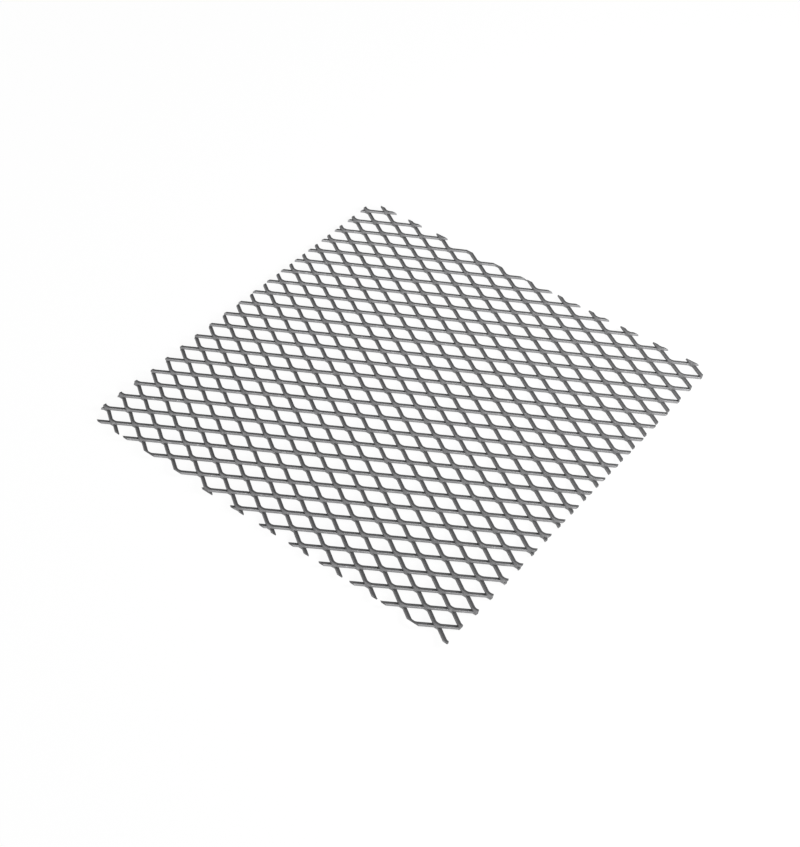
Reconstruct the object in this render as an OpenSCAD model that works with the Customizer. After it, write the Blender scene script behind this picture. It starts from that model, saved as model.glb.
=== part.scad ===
// Raised expanded metal sheet: a steel plate slit in staggered rows and drawn
// open, so that wavy strands stay joined at short bonds and leave diamonds.
// Millimetres, +Z up. X is the long way of the diamonds, Y the short way.
// Origin: centre of the sheet on the plane that it lies on.

/* [Sheet] */
// Side of the sheet along X
sheet_x = 500; // [300:10:600]
// Side of the sheet along Y
sheet_y = 500; // [300:10:600]

/* [Mesh] */
// Long way of a diamond, from bond centre to bond centre
long_way = 43; // [38:0.1:60]
// Short way of a diamond, from bond centre to bond centre
short_way = 24.9; // [20:0.1:32]
// How far the rows of diamonds are turned from the sheared edges, degrees
mesh_turn = 2; // [0:0.05:5]
// Place of one bond along X, from the middle of the sheet
bond_at_x = 3; // [-20:0.1:20]
// Place of the same bond along Y, from the middle of the sheet
bond_at_y = 3.2; // [-12:0.1:12]

/* [Strand] */
// Width of a strand, which is the feed of the press at each stroke
strand_w = 2.7; // [2:0.1:4]
// How far each stroke lands to the left of its place, beside half a long way
stroke_creep = 0.09; // [0:0.01:0.2]
// Thickness of the plate
gauge = 4; // [2:0.1:5]
// Length of a bond, where two strands stay joined, measured between the bends
bond_l = 5.5; // [5:0.1:8]
// Bend beside the bond that a strand hangs from, as a share of the widest one
hang_bend = 0.92; // [0.5:0.01:0.95]
// Bend beside the bond that the tool pushes down, as a share of the widest one
push_bend = 0.49; // [0.4:0.01:0.95]
// Flat steps that make up one bend
bend_steps = 1; // [1:1:2]
// Depth that the levelling rolls flatten the tips of the bonds
roll_flat = 0.3; // [0.1:0.05:0.5]

/* [Hidden] */

// Each stroke pushes a strand down by drop, and the finished mesh is tilted
// back by lay so that the bonds come level.
half_long = long_way / 2;
half_short = short_way / 2;
drop = round(1000 * sqrt(half_short * half_short - strand_w * strand_w)) / 1000;
lay = atan(drop / strand_w);
slope = atan(drop / (half_long - bond_l));
// Bend radii at mid-thickness. The widest bend starts at the middle of a bond.
widest_r = bond_l / 2 / tan(slope / 2);
hang_r = hang_bend * widest_r;
push_r = push_bend * widest_r;

// The bonds stand on their sheared sides, with the tips rolled flat.
sheet_h = 2 * strand_w * sin(lay) + gauge * cos(lay) - 2 * roll_flat;

// Neighbouring strands run this far into each other, so that the bonds fuse.
fuse_l = strand_w / 60;

// Bonds nearer than this to a sheared edge are cut away with the edge.
edge_keep = strand_w / 2;
reach = sheet_x + sheet_y;
i_max = ceil(0.6 * reach / half_long);
k_max = ceil(0.6 * reach / half_short);

// Bond i of row r lies at i half long ways and r half short ways.
function on_sheet(i, r) =
    let (u = i * half_long - r * stroke_creep + bond_at_x)
    let (v = r * half_short + bond_at_y)
    let (x = u * cos(mesh_turn) - v * sin(mesh_turn))
    let (y = u * sin(mesh_turn) + v * cos(mesh_turn))
    abs(x) < sheet_x / 2 - edge_keep && abs(y) < sheet_y / 2 - edge_keep;

// Strand k weaves between bond rows k and k + 1: here is its row at step i.
function row_at(i, k) = k + abs(i - k) % 2;
function hangs(i, k) = row_at(i, k) == k;
function bonds_of(k) = [for (i = [-i_max : i_max]) if (on_sheet(i, row_at(i, k))) i];

// The bend beside bond i on one face of strand k. Side -1 leads into the bond
// and side 1 out of it. Face 1 is the upper face and face -1 the lower one.
function bend(i, k, face, side) =
    let (up = hangs(i, k) ? 1 : -1)
    let (level = hangs(i, k) ? 0 : -drop)
    let (mid_r = hangs(i, k) ? hang_r : push_r)
    let (face_r = mid_r + face * up * gauge / 2)
    let (start = bond_l / 2 - mid_r * tan(slope / 2))
    [for (n = [0 : bend_steps])
        let (a = slope * (side < 0 ? bend_steps - n : n) / bend_steps)
        [i * half_long + side * (start + face_r * sin(a)), level + up * (face_r * cos(a) - mid_r)]];

// One face of strand k from bond i0 to bond i1.
function wave(k, i0, i1, face) = [
    for (i = [i0 : i1])
        each concat(
            i > i0 ? bend(i, k, face, -1) : [],
            i < i1 ? bend(i, k, face, 1) : [])
];

function reversed(list) = [for (n = [len(list) - 1 : -1 : 0]) list[n]];

// One strand as the press leaves it, beside and below the one before it.
module strand(k, extra) {
    bonds = bonds_of(k);
    if (len(bonds) > 0) {
        first = min(bonds) - 1;
        last = max(bonds) + 1;
        translate([-k * stroke_creep, (k + 1) * strand_w + extra, -k * drop])
            rotate([90, 0, 0])
                linear_extrude(strand_w + extra)
                    polygon(concat(wave(k, first, last, 1), reversed(wave(k, first, last, -1))));
    }
}

module strands(k_first, k_last) {
    intersection() {
        translate([0, 0, sheet_h / 2])
            rotate([0, 0, mesh_turn])
                translate([bond_at_x, bond_at_y, 0])
                    rotate([lay, 0, 0])
                        union() {
                            for (k = [k_first : k_last])
                                strand(k, k < k_last ? fuse_l : 0);
                        }
        translate([-sheet_x / 2, -sheet_y / 2, 0])
            cube([sheet_x, sheet_y, sheet_h]);
    }
}

module front_strands() {
    color("#7d7d7c")
        strands(-k_max, -1);
}

module back_strands() {
    color("#7d7d7c")
        strands(0, k_max);
}

front_strands();
back_strands();
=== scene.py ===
# %% [markdown]
# # Raised expanded metal sheet
#
# The object is one square of expanded metal. A press slits a steel plate in
# staggered rows and pushes each new strand down as it cuts it, so that the
# plate opens into a net of diamonds without losing any metal. Two wavy strands
# stay joined at every short bond, and every strand stands on edge and leans.
#
# The imported model gives the frame: its two solids are the front and the back
# half of the sheet. They are loaded first.

# %% Load the frame
import math

import bmesh
import bpy
import numpy as np
from mathutils import Matrix, Vector


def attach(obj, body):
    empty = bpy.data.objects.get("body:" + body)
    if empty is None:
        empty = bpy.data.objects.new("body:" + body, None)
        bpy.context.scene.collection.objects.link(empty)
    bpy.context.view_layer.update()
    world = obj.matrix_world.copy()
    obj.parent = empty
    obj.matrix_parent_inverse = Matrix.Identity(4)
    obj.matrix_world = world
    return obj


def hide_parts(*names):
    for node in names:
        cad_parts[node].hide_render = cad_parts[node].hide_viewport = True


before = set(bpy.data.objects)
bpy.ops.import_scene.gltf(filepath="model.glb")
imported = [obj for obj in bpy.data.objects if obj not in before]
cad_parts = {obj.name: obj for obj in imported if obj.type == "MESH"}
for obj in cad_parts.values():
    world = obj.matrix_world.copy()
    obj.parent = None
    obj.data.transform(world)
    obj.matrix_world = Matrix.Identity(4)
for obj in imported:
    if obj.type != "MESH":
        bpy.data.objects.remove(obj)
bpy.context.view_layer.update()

print("CAD nodes:", sorted(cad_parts))

# %% [markdown]
# ## The sizes of the mesh
#
# A net like this has very few numbers. The long way and the short way are the
# distances from bond to bond along and across the diamonds. The feed of the
# press is the width of a strand, and the plate gives its thickness. They are
# the same values that the solids are built from, in millimetres, because the
# finer strands of this scene have to lie exactly where the solids lie.

# %% Sizes in millimetres
SHEET = 500.0
LONG_WAY, SHORT_WAY = 43.0, 24.9
MESH_TURN = math.radians(2.0)
BOND_AT = np.array([3.0, 3.2])
STRAND_W, GAUGE = 2.7, 4.0
STROKE_CREEP = 0.09
BOND_L = 5.5
# The bends that hang from a bond and that the tool pushes, as shares of the widest one that fits.
HANG_BEND, PUSH_BEND = 0.92, 0.49
ROLL_FLAT = 0.3
EDGE_KEEP = STRAND_W / 2

HALF_LONG, HALF_SHORT = LONG_WAY / 2, SHORT_WAY / 2
DROP = math.sqrt(HALF_SHORT**2 - STRAND_W**2)
LAY = math.atan2(DROP, STRAND_W)
SLOPE = math.atan2(DROP, HALF_LONG - BOND_L)
WIDEST_R = BOND_L / 2 / math.tan(SLOPE / 2)
HANG_R, PUSH_R = HANG_BEND * WIDEST_R, PUSH_BEND * WIDEST_R
SHEET_H = 2 * STRAND_W * math.sin(LAY) + GAUGE * math.cos(LAY) - 2 * ROLL_FLAT
print(f"strands lean {math.degrees(LAY):.1f} deg, slope {math.degrees(SLOPE):.1f} deg,"
      f" sheet {SHEET_H:.2f} mm high")

# %% [markdown]
# ## Where the bonds lie
#
# Bond i of row r sits at i half long ways and r half short ways, and only
# every second place is taken, like the squares of one colour on a chessboard.
# Strand k weaves between the rows k and k + 1. A strand is only made between
# the outermost bonds that the sheet keeps, plus one step beyond them, so no
# loose sliver is left along the sheared edges.

# %% Bonds and strands on the sheet
# More steps and strands than the sheet can hold. Those that lie on it are kept.
STEPS, STRANDS = np.arange(-20, 21), range(-40, 41)


def turned(u, v):
    """Mesh directions to sheet directions: a turn of MESH_TURN about the upright axis."""
    c, s = math.cos(MESH_TURN), math.sin(MESH_TURN)
    return u * c - v * s, u * s + v * c


def row_at(i, k):
    """The bond row that strand k touches at step i: k or k + 1 in turn."""
    return k + np.abs(i - k) % 2


def reach_of(k):
    """First and last step of strand k, one beyond the bonds that lie on the sheet, or None."""
    r = row_at(STEPS, k)
    x, y = turned(STEPS * HALF_LONG - r * STROKE_CREEP + BOND_AT[0], r * HALF_SHORT + BOND_AT[1])
    inside = STEPS[(np.abs(x) < SHEET / 2 - EDGE_KEEP) & (np.abs(y) < SHEET / 2 - EDGE_KEEP)]
    return (inside[0] - 1, inside[-1] + 1) if len(inside) else None


reaches = {k: reach_of(k) for k in STRANDS}
reaches = {k: reach for k, reach in reaches.items() if reach}
print(f"{len(reaches)} strands, from {min(reaches)} to {max(reaches)}")

# %% [markdown]
# ## The section of a strand
#
# The knife of the press leaves each strand with four sheared edges. Where the
# knife enters the plate the edge is drawn in and round, and where the cut
# breaks through it is nearly sharp. At a bond the metal was never cut, so the
# rounding fades out there and the two strands run into one flat face. A bevel
# would round all edges alike, so the section is worked out point by point.

# %% Section with rounded edges
DRAWN_R, BREAK_R, BOND_EDGE_R = 0.32, 0.14, 0.02
# Each corner of the section: side along the width, side along the thickness,
# first angle of its quarter circle in degrees, radius where the strand is free.
CORNERS = [(1, 1, 0, DRAWN_R), (-1, 1, 90, DRAWN_R), (-1, -1, 180, BREAK_R), (1, -1, 270, BREAK_R)]
ARC_POINTS = 3


def section(free):
    """Points round the strand's section, for each share of free edge from 0 at a bond to 1.

    A corner of radius q has its quarter circle round (w/2 - q, g/2 - q), with its signs:
    width = half a strand + side * (w/2 - q) + q cos(angle), thickness = side * (g/2 - q) + q sin(angle).
    """
    widths, heights = [], []
    for side_w, side_t, first, radius in CORNERS:
        q = (BOND_EDGE_R + (radius - BOND_EDGE_R) * free)[:, None]
        angle = np.radians(first + np.linspace(0, 90, ARC_POINTS))[None, :]
        widths.append(STRAND_W / 2 + side_w * (STRAND_W / 2 - q) + q * np.cos(angle))
        heights.append(side_t * (GAUGE / 2 - q) + q * np.sin(angle))
    return np.concatenate(widths, axis=1), np.concatenate(heights, axis=1)


# 1 for each step round the section that the knife made: the sides, along which the
# width stays the same, and the sharp corners. 0 where the skin of the plate is left.
SHEARED = np.array([[radius == BREAK_R] * (ARC_POINTS - 1) + [side_w == CORNERS[(n + 1) % 4][0]]
                    for n, (side_w, _, _, radius) in enumerate(CORNERS)], dtype=float).ravel()
# From 0 at the ends of each rounded corner to 1 at its middle, where the strand gets rubbed.
EDGES = np.tile(np.sin(np.linspace(0, math.pi, ARC_POINTS)), len(CORNERS))
# 1 on the side of the section that faces the strand before.
INNER_SIDE = np.repeat([side_w < 0 for side_w, *_ in CORNERS], ARC_POINTS)
SECTION_POINTS = ARC_POINTS * len(CORNERS)
print(SECTION_POINTS, "points round a strand,", int(SHEARED.sum()), "of the steps between them sheared")

# %% [markdown]
# ## The strands
#
# A strand is that section carried along a wave: flat at each bond, then round
# a bend, then straight to the next bond half a short way further on. The bend
# that hangs from a bond is wide, because the tool only pulls there, and the
# one under the tool is tight. All stations of a strand are worked out at once
# as arrays, and the finished wave is tipped over by the lean of the mesh.

# %% Strand surfaces
BEND_STEPS = 5
# At a bond the hanging strand runs this far into the one before, so that no groove shows.
BOND_LAP = 0.06
# The marks of the knife start elsewhere on each strand, so that they don't line up.
STRAND_SHIFT = 17.3


def strand_surface(k, first, last):
    """Stations along strand k by points round its section in millimetres, their depth and their edge.

    Beside bond i, at the angle a from it, a point t above the middle of the plate lies at
    x = i half_long + side (start + (r + up t) sin a), z = level + up ((r + up t) cos a - r),
    with start = bond_l / 2 - r tan(slope / 2), so that the straight parts meet the bends.
    The share of free edge rises from 0 at a bond to 1 on the straight part as 3 s^2 - 2 s^3,
    with s = a / slope. The depth goes from 0 where the knife breaks through to 1 where it enters.
    The edge is 1 on the corners of a free strand and 0 on its faces and at the bonds.
    """
    steps = np.arange(first, last + 1)
    hangs = row_at(steps, k) == k
    turn = np.linspace(0, SLOPE, BEND_STEPS + 1)
    a = np.tile(np.concatenate([turn[::-1], turn]), len(steps))
    side = np.tile(np.repeat([-1.0, 1.0], BEND_STEPS + 1), len(steps))
    per_bond = 2 * (BEND_STEPS + 1)
    i, up = np.repeat(steps, per_bond), np.repeat(np.where(hangs, 1.0, -1.0), per_bond)
    level, r = np.where(up > 0, 0.0, -DROP), np.where(up > 0, HANG_R, PUSH_R)
    # The first bond has no bend into it, and the last one has none out of it.
    keep = slice(BEND_STEPS + 1, -(BEND_STEPS + 1))
    a, side, i, up, level, r = (v[keep, None] for v in (a, side, i, up, level, r))
    share = a[:, 0] / SLOPE
    free = share * share * (3 - 2 * share)
    width, t = section(free)
    width = width - BOND_LAP * (1 - free)[:, None] * (up > 0) * INNER_SIDE
    arm = r + up * t
    x = i * HALF_LONG + side * (BOND_L / 2 - r * math.tan(SLOPE / 2) + arm * np.sin(a)) - k * STROKE_CREEP
    y = k * STRAND_W + width
    z = level + up * (arm * np.cos(a) - r) - k * DROP
    return np.stack([x, y, z], axis=-1), t / GAUGE + 0.5, free[:, None] * EDGES


def along_strand(k, grid):
    """Distance of each station along strand k, through the middles of its sections, in millimetres."""
    middle = grid.mean(axis=1)
    steps = np.linalg.norm(np.diff(middle, axis=0, prepend=middle[:1]), axis=1)
    return STRAND_SHIFT * k + np.cumsum(steps)


def laid_down(points):
    """Press directions to the sheet's own: lean by LAY about X, shift, turn, and lift to the middle."""
    x, y, z = np.moveaxis(points, -1, 0)
    v, up = y * math.cos(LAY) - z * math.sin(LAY), y * math.sin(LAY) + z * math.cos(LAY)
    x, y = turned(x + BOND_AT[0], v + BOND_AT[1])
    return np.stack([x, y, up + SHEET_H / 2], axis=-1)


sample = laid_down(strand_surface(0, *reaches[0])[0]).reshape(-1, 3)
print("strand 0:", len(sample), "points from", sample.min(0).round(2), "to", sample.max(0).round(2))

# %% [markdown]
# ## One half of the sheet
#
# The grids of all strands of one half go into one mesh. The sheared edges of
# the sheet and the flats that the levelling rolls leave on the tips are plane
# cuts through all of them. A boolean with a box would do it, but six plane
# cuts are quicker and leave clean caps, which are filled right after each cut.

# %% Mesh of one half, cut to the sheet
CUTS = [((SHEET / 2, 0, 0), (1, 0, 0)), ((-SHEET / 2, 0, 0), (-1, 0, 0)),
        ((0, SHEET / 2, 0), (0, 1, 0)), ((0, -SHEET / 2, 0), (0, -1, 0)),
        ((0, 0, SHEET_H), (0, 0, 1)), ((0, 0, 0), (0, 0, -1))]
# Points this near to a cut count as on it, and shorter edges are merged away, in millimetres.
ON_CUT, SHORTEST_EDGE = 1e-5, 1e-3
METRES_PER_MM = 1e-3


def strand_faces(stations, offset):
    """Quads between neighbouring stations and section points, and a cap at each end."""
    s, j = np.meshgrid(np.arange(stations - 1), np.arange(SECTION_POINTS), indexing="ij")
    n = (j + 1) % SECTION_POINTS
    quads = np.stack([s * SECTION_POINTS + j, s * SECTION_POINTS + n,
                      (s + 1) * SECTION_POINTS + n, (s + 1) * SECTION_POINTS + j], axis=-1)
    ring = np.arange(SECTION_POINTS)
    return ((quads.reshape(-1, 4) + offset).tolist()
            + [(ring[::-1] + offset).tolist(), (ring + (stations - 1) * SECTION_POINTS + offset).tolist()])


def cut_to_sheet(bm):
    """Cuts away what lies outside the six planes of the sheet and closes the cuts.

    The four sides are sheared, and the flats of the tips are rolled. Their rims are sharp.
    """
    sheared = bm.faces.layers.float["sheared"]
    for at, out in CUTS:
        bmesh.ops.bisect_plane(bm, geom=bm.verts[:] + bm.edges[:] + bm.faces[:], dist=ON_CUT,
                               plane_co=at, plane_no=out, clear_outer=True)
        rim = [e for e in bm.edges if e.is_boundary]
        for edge in rim:
            edge.smooth = False
        for cap in bmesh.ops.holes_fill(bm, edges=rim, sides=0)["faces"]:
            cap[sheared] = 1.0 - abs(out[2])


def put_values(mesh, name, domain, values):
    """Adds a number to each point or face of the mesh under this name, for the material to read."""
    mesh.attributes.new(name, "FLOAT", domain).data.foreach_set("value", np.concatenate(values))


def half_sheet(name, strands):
    """One mesh with all the named strands, cut to the sheet, in metres."""
    points, faces, along, depth, edge, sheared = [], [], [], [], [], []
    for k in strands:
        wave, in_plate, on_edge = strand_surface(k, *reaches[k])
        faces += strand_faces(len(wave), sum(map(len, points)))
        points.append(laid_down(wave).reshape(-1, 3))
        along.append(np.repeat(along_strand(k, wave), SECTION_POINTS))
        depth.append(in_plate.ravel())
        edge.append(on_edge.ravel())
        sheared.append(np.append(np.tile(SHEARED, len(wave) - 1), [1.0, 1.0]))
    mesh = bpy.data.meshes.new(name)
    mesh.from_pydata(np.concatenate(points), [], faces)
    put_values(mesh, "along", "POINT", along)
    put_values(mesh, "depth", "POINT", depth)
    put_values(mesh, "edge", "POINT", edge)
    put_values(mesh, "sheared", "FACE", sheared)
    bm = bmesh.new()
    bm.from_mesh(mesh)
    cut_to_sheet(bm)
    bmesh.ops.dissolve_degenerate(bm, dist=SHORTEST_EDGE, edges=bm.edges)
    bmesh.ops.recalc_face_normals(bm, faces=bm.faces)
    open_edges = sum(not e.is_manifold for e in bm.edges)
    bmesh.ops.scale(bm, vec=Vector.Fill(3, METRES_PER_MM), verts=bm.verts)
    bm.to_mesh(mesh)
    bm.free()
    mesh.shade_smooth()
    piece = bpy.data.objects.new(name, mesh)
    bpy.context.scene.collection.objects.link(piece)
    print(name, ":", len(strands), "strands,", len(mesh.polygons), "faces,", open_edges, "open edges")
    return piece


front_mesh = half_sheet("front_mesh", [k for k in reaches if k < 0])
back_mesh = half_sheet("back_mesh", [k for k in reaches if k >= 0])

# %% [markdown]
# The finer halves stand for the two solids, which stay in the frame for
# collision. They are one rigid piece of stock, so both ride on the root body.
# Weighted normals keep the wide faces flat where they meet the small rounded
# edges, which plain smooth shading would bend.

# %% Put the halves on the frame
# Past 50, large faces weigh more than small ones.
FACE_WEIGHT = 90

for piece, node in ((front_mesh, "front_strands"), (back_mesh, "back_strands")):
    normals = piece.modifiers.new("flat faces", "WEIGHTED_NORMAL")
    normals.weight = FACE_WEIGHT
    normals.keep_sharp = True
    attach(piece, "root")
    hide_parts(node)
    print(piece.name, "stands for", node)

# %% [markdown]
# ## The steel
#
# The sheet is plain mild steel as it comes from the press, lightly oiled and
# never painted. It has three finishes: the skin of the rolled plate, the faces
# that the knife cut, and the corners that were rubbed in handling. Image maps
# would not fit round a strand, so each strand carries four numbers, which are
# the distance along it, the depth in the plate, whether a point is on an edge
# and whether a face is a sheared one. The material draws its bands from them.

# %% Helpers for materials
def linear(colour):
    """An sRGB colour such as #7d7d7c as the linear values that the shader works with."""
    s = np.array([int(colour[n:n + 2], 16) for n in (1, 3, 5)]) / 255
    rgb = np.where(s <= 0.04045, s / 12.92, ((s + 0.055) / 1.055) ** 2.4)
    return (*rgb.tolist(), 1.0)


def add(tree, kind, inputs=None, out=None, **settings):
    """Adds one node and gives back its output of this name, or else the first one in use.

    The settings are the node's own, and each input is a value or an output to link from.
    """
    made = tree.nodes.new(kind)
    for key, value in settings.items():
        setattr(made, key, value)
    for key, value in (inputs or {}).items():
        if isinstance(value, bpy.types.NodeSocket):
            tree.links.new(value, made.inputs[key])
        else:
            made.inputs[key].default_value = value
    in_use = [socket for socket in made.outputs if socket.enabled]
    return made.outputs[out] if out else next(iter(in_use), None)


def blank_material(name):
    """A new node material without nodes, and its tree."""
    material = bpy.data.materials.new(name)
    material.use_nodes = True
    material.node_tree.nodes.clear()
    return material, material.node_tree


def per_mm(size):
    """Noise scale for features of this size in millimetres, in Object coordinates in metres."""
    return 1000.0 / size


print("mid grey in linear values:", [round(v, 3) for v in linear("#7d7d7d")[:3]])

# %% [markdown]
# ### Rolled skin
#
# Two faces of each strand are the old faces of the plate. Rolling leaves a thin
# dull scale on them, in soft clouds of two greys, and the bending makes it come
# off in small, paler and smoother flakes. The skin was there before the plate
# was slit, so its noise lies in space and isn't tied to the strands.

# %% Rolled skin
# Sizes of the clouds, the flakes and the grain of the skin, in millimetres.
CLOUDS, FLAKES, GRAIN = 14.0, 5.0, 0.9


def rolled_skin(tree, place, grain):
    """Colour and roughness of the scale, with clouds in it and flakes off it."""
    clouds = add(tree, "ShaderNodeTexNoise", {"Vector": place, "Scale": per_mm(CLOUDS), "Detail": 3.0})
    cloudy = add(tree, "ShaderNodeMapRange", {"Value": clouds, "From Min": 0.3, "From Max": 0.7})
    flakes = add(tree, "ShaderNodeTexNoise", {"Vector": place, "Scale": per_mm(FLAKES), "Detail": 5.0})
    bare = add(tree, "ShaderNodeMapRange", {"Value": flakes, "From Min": 0.58, "From Max": 0.64})
    scale = add(tree, "ShaderNodeMix", {"Factor": cloudy, "A": linear("#6c6c6d"), "B": linear("#7a7a7b")},
                data_type="RGBA")
    colour = add(tree, "ShaderNodeMix", {"Factor": bare, "A": scale, "B": linear("#858586")},
                 data_type="RGBA")
    dull = add(tree, "ShaderNodeMapRange", {"Value": grain, "From Min": 0.25, "From Max": 0.75,
                                            "To Min": 0.44, "To Max": 0.6})
    rough = add(tree, "ShaderNodeMix", {"Factor": bare, "A": dull, "B": 0.4})
    return colour, rough


print("skin with clouds of", CLOUDS, "mm, flakes of", FLAKES, "mm and grain of", GRAIN, "mm")

# %% [markdown]
# ### Sheared faces
#
# The other two faces were cut. The knife first rubs a smooth band with fine
# marks across it, and then the metal tears and leaves a rough, darker band.
# Both bands are also painted darker than the skin. This is painted shade on
# these faces, which face up and down on the leaning strands.
# A wave texture would draw the marks too evenly, so they are noise that reads
# the distance along the strand and the depth in the plate.

# %% Sheared faces
# Real knife marks are some 0.2 mm apart. They are drawn wider, or they would not show.
KNIFE_MARKS = 0.9
# How far the marks move the border of the torn band, as a share of the plate.
BORDER_WANDER = 0.35


def knife_marks(tree, depth):
    """Marks across the strand: noise on the distance along it in millimetres and on the depth."""
    along = add(tree, "ShaderNodeAttribute", out="Fac", attribute_name="along")
    at = add(tree, "ShaderNodeCombineXYZ", {"X": along, "Y": depth})
    return add(tree, "ShaderNodeTexNoise", {"Vector": at, "Scale": 1 / KNIFE_MARKS, "Detail": 2.0})


def shaded_sheared_face(tree, depth, marks):
    """Colour and roughness of the rubbed band, where the knife entered, and of the torn band below it,
    both in greys that carry painted shade.

    Torn is where depth + wander * marks lies under some 0.8, so the border follows the marks.
    """
    border = add(tree, "ShaderNodeMath", {0: marks, 1: BORDER_WANDER, 2: depth}, operation="MULTIPLY_ADD")
    torn = add(tree, "ShaderNodeMapRange", {"Value": border, "From Min": 0.86, "From Max": 0.76})
    # Painted shade: both greys lie below the skin's, to darken the sheared faces, which face up and down.
    # The torn one is also duller steel.
    colour = add(tree, "ShaderNodeMix", {"Factor": torn, "A": linear("#585859"), "B": linear("#484849")},
                 data_type="RGBA")
    rough = add(tree, "ShaderNodeMapRange", {"Value": torn, "To Min": 0.38, "To Max": 0.68})
    return colour, rough


print("knife marks", KNIFE_MARKS, "mm apart on the cut faces")

# %% [markdown]
# ### Rubbed edges and the whole steel
#
# Sheets are stacked and dragged over each other, which rubs the corners of the
# strands bright. A bevel node could find the corners, but it takes long to
# render, and the strands already carry a number for them. The three finishes
# then lie over each other in one material, because it is all one metal. Bare
# steel is fully metallic, but scale and oil hide much of it here.

# %% Rubbed edges and the whole steel
METALLIC = 0.35
# Height of the grain and of the knife marks, in metres.
RELIEF = 8e-5


def rubbed_edges(tree, grain):
    """The share of the surface that is rubbed bright: the corners, uneven with the grain."""
    edge = add(tree, "ShaderNodeAttribute", out="Fac", attribute_name="edge")
    wear = add(tree, "ShaderNodeMath", {0: grain, 1: 0.8, 2: edge}, operation="MULTIPLY_ADD")
    return add(tree, "ShaderNodeMapRange", {"Value": wear, "From Min": 0.85, "From Max": 1.5})


def plain_steel():
    """Dull grey steel: rolled skin, cut faces where the strands say so, and bright edges over both."""
    material, tree = blank_material("sheared_mild_steel")
    place = add(tree, "ShaderNodeTexCoord", out="Object")
    depth = add(tree, "ShaderNodeAttribute", out="Fac", attribute_name="depth")
    sheared = add(tree, "ShaderNodeAttribute", out="Fac", attribute_name="sheared")
    grain = add(tree, "ShaderNodeTexNoise", {"Vector": place, "Scale": per_mm(GRAIN), "Detail": 4.0})
    marks = knife_marks(tree, depth)
    skin, skin_rough = rolled_skin(tree, place, grain)
    cut, cut_rough = shaded_sheared_face(tree, depth, marks)
    rubbed = rubbed_edges(tree, grain)
    # The sheared faces take the cut greys, which carry painted shade.
    face = add(tree, "ShaderNodeMix", {"Factor": sheared, "A": skin, "B": cut}, data_type="RGBA")
    colour = add(tree, "ShaderNodeMix", {"Factor": rubbed, "A": face, "B": linear("#a2a2a3")},
                 data_type="RGBA")
    face_rough = add(tree, "ShaderNodeMix", {"Factor": sheared, "A": skin_rough, "B": cut_rough})
    rough = add(tree, "ShaderNodeMix", {"Factor": rubbed, "A": face_rough, "B": 0.32})
    relief = add(tree, "ShaderNodeMix", {"Factor": sheared, "A": grain, "B": marks})
    bump = add(tree, "ShaderNodeBump", {"Height": relief, "Strength": 0.3, "Distance": RELIEF})
    metal = add(tree, "ShaderNodeBsdfPrincipled", {"Base Color": colour, "Metallic": METALLIC,
                                                   "Roughness": rough, "Normal": bump})
    add(tree, "ShaderNodeOutputMaterial", {"Surface": metal})
    return material


steel = plain_steel()
for piece in (front_mesh, back_mesh):
    piece.data.materials.append(steel)
print("steel on", front_mesh.name, "and", back_mesh.name)

# %% [markdown]
# ## Floor and light
#
# The sheet lies on a plain white sweep. The floor is a pale matt surface whose
# picture is lifted to white for the camera and for mirror rays, and it still
# takes the sheet's soft shadow. The light is a bright room with one broad lamp,
# low from the front right, which catches the faces that lean that way, and a
# nearer one behind on the right, which lightens that side of the sheet a little.

# %% Floor
FLOOR_HALF = 6.0
# The lit paper itself stays under white, so its plain part makes up for that.
PLAIN_SHARE, PLAIN_WHITE = 0.9, 1.035


def floor_sheet(half):
    """A square of one face at the height of the floor, half a side each way from the middle."""
    corners = [(-half, -half, 0), (half, -half, 0), (half, half, 0), (-half, half, 0)]
    mesh = bpy.data.meshes.new("floor")
    mesh.from_pydata(corners, [], [(0, 1, 2, 3)])
    made = bpy.data.objects.new("floor", mesh)
    bpy.context.scene.collection.objects.link(made)
    return made


def seen_directly(tree):
    """1 for camera, mirror and see-through rays, 0 for the rays that light the scene."""
    seen = 0.0
    for kind in ("Is Camera Ray", "Is Glossy Ray", "Is Transmission Ray"):
        ray = add(tree, "ShaderNodeLightPath", out=kind)
        seen = add(tree, "ShaderNodeMath", {0: seen, 1: ray}, operation="MAXIMUM")
    return seen


def white_floor():
    """Matt white paper: seen directly, most of it is plain white, and the rest shows the shadow."""
    material, tree = blank_material("white_paper")
    share = add(tree, "ShaderNodeMath", {0: seen_directly(tree), 1: PLAIN_SHARE}, operation="MULTIPLY")
    paper = add(tree, "ShaderNodeBsdfDiffuse", {"Color": linear("#f4f4f4")})
    white = add(tree, "ShaderNodeEmission", {"Strength": PLAIN_WHITE})
    both = add(tree, "ShaderNodeMixShader", {0: share, 1: paper, 2: white})
    add(tree, "ShaderNodeOutputMaterial", {"Surface": both})
    return material


floor = floor_sheet(FLOOR_HALF)
floor.data.materials.append(white_floor())
print("floor of", 2 * FLOOR_HALF, "m each way")

# %% World and lamps
WHITE = linear("#ffffff")
ROOM_LIGHT, SEEN_WHITE = 0.22, 1.0


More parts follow.
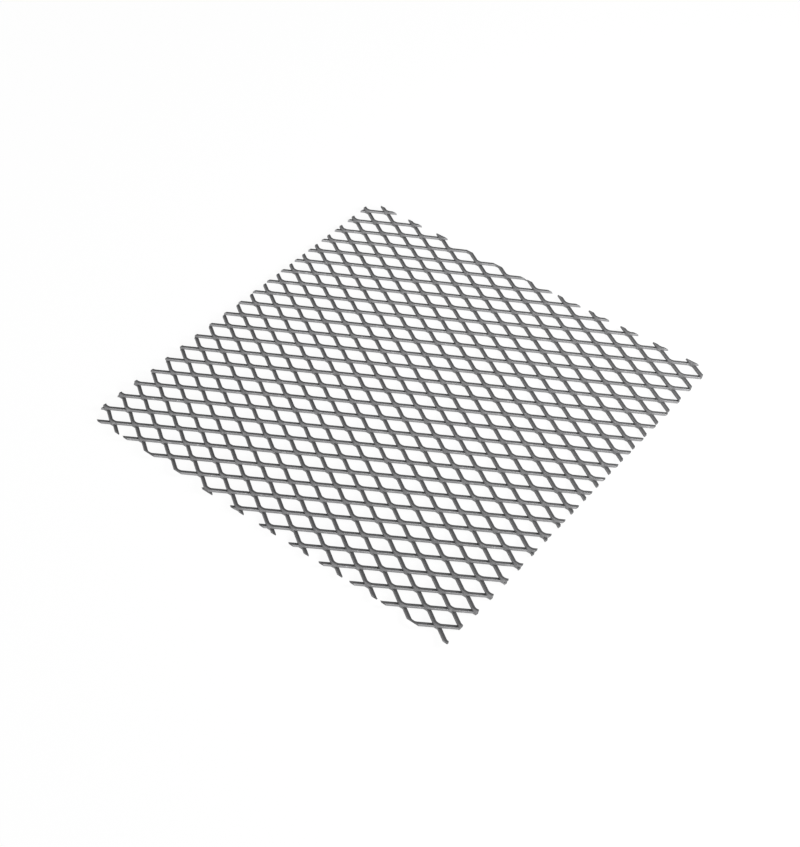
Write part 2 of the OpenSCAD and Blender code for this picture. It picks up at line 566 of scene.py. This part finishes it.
def add_lamp(name, kind, place, **settings):
    """A lamp at this place in metres that points at the middle of the sheet and isn't seen itself."""
    light = bpy.data.lights.new(name, kind)
    for key, value in settings.items():
        setattr(light, key, value)
    lamp = bpy.data.objects.new(name, light)
    lamp.location = place
    lamp.rotation_euler = (-Vector(place)).to_track_quat("-Z", "Y").to_euler()
    lamp.visible_camera = False
    bpy.context.scene.collection.objects.link(lamp)
    print(name, "of kind", kind, "with", settings)


world = bpy.data.worlds.new("bright_room")
bpy.context.scene.world = world
world.use_nodes = True
sky = world.node_tree
sky.nodes.clear()
lighting = add(sky, "ShaderNodeBackground", {"Color": WHITE, "Strength": ROOM_LIGHT})
seen_white = add(sky, "ShaderNodeBackground", {"Color": WHITE, "Strength": SEEN_WHITE})
room = add(sky, "ShaderNodeMixShader", {0: seen_directly(sky), 1: lighting, 2: seen_white})
add(sky, "ShaderNodeOutputWorld", {"Surface": room})
add_lamp("key_lamp", "SUN", (2.16, -1.92, 0.81), energy=4.0, angle=math.radians(30))
add_lamp("side_lamp", "AREA", (0.75, 0.5, 0.4), energy=10.0, size=0.4)

# %% [markdown]
# ## Camera
#
# The photograph was taken from above the front right, with the corners of the
# sheet pointing left, down, right and up. The place and the lens follow from
# the four corners in the picture, for a sheet of this size.

# %% Camera
EYE, AIM = Vector((0.77485, -1.00912, 1.25557)), Vector((0.02423, -0.03919, 0.0))
ROLL = math.radians(0.87)
IMAGE_H, FOCAL_PX, SENSOR = 847, 1569.1, 36.0
forward = (AIM - EYE).normalized()
level_right = forward.cross(Vector((0, 0, 1))).normalized()
level_up = level_right.cross(forward)
right = level_right * math.cos(ROLL) + level_up * math.sin(ROLL)
up = right.cross(forward)
lens = bpy.data.cameras.new("camera")
lens.sensor_fit = "VERTICAL"
lens.sensor_height = SENSOR
lens.lens = FOCAL_PX / IMAGE_H * SENSOR
camera = bpy.data.objects.new("camera", lens)
camera.matrix_world = Matrix((right, up, -forward)).transposed().to_4x4()
camera.location = EYE
bpy.context.scene.collection.objects.link(camera)
bpy.context.scene.camera = camera
bpy.context.scene.view_settings.view_transform = "Standard"
print(f"lens {lens.lens:.1f} mm")
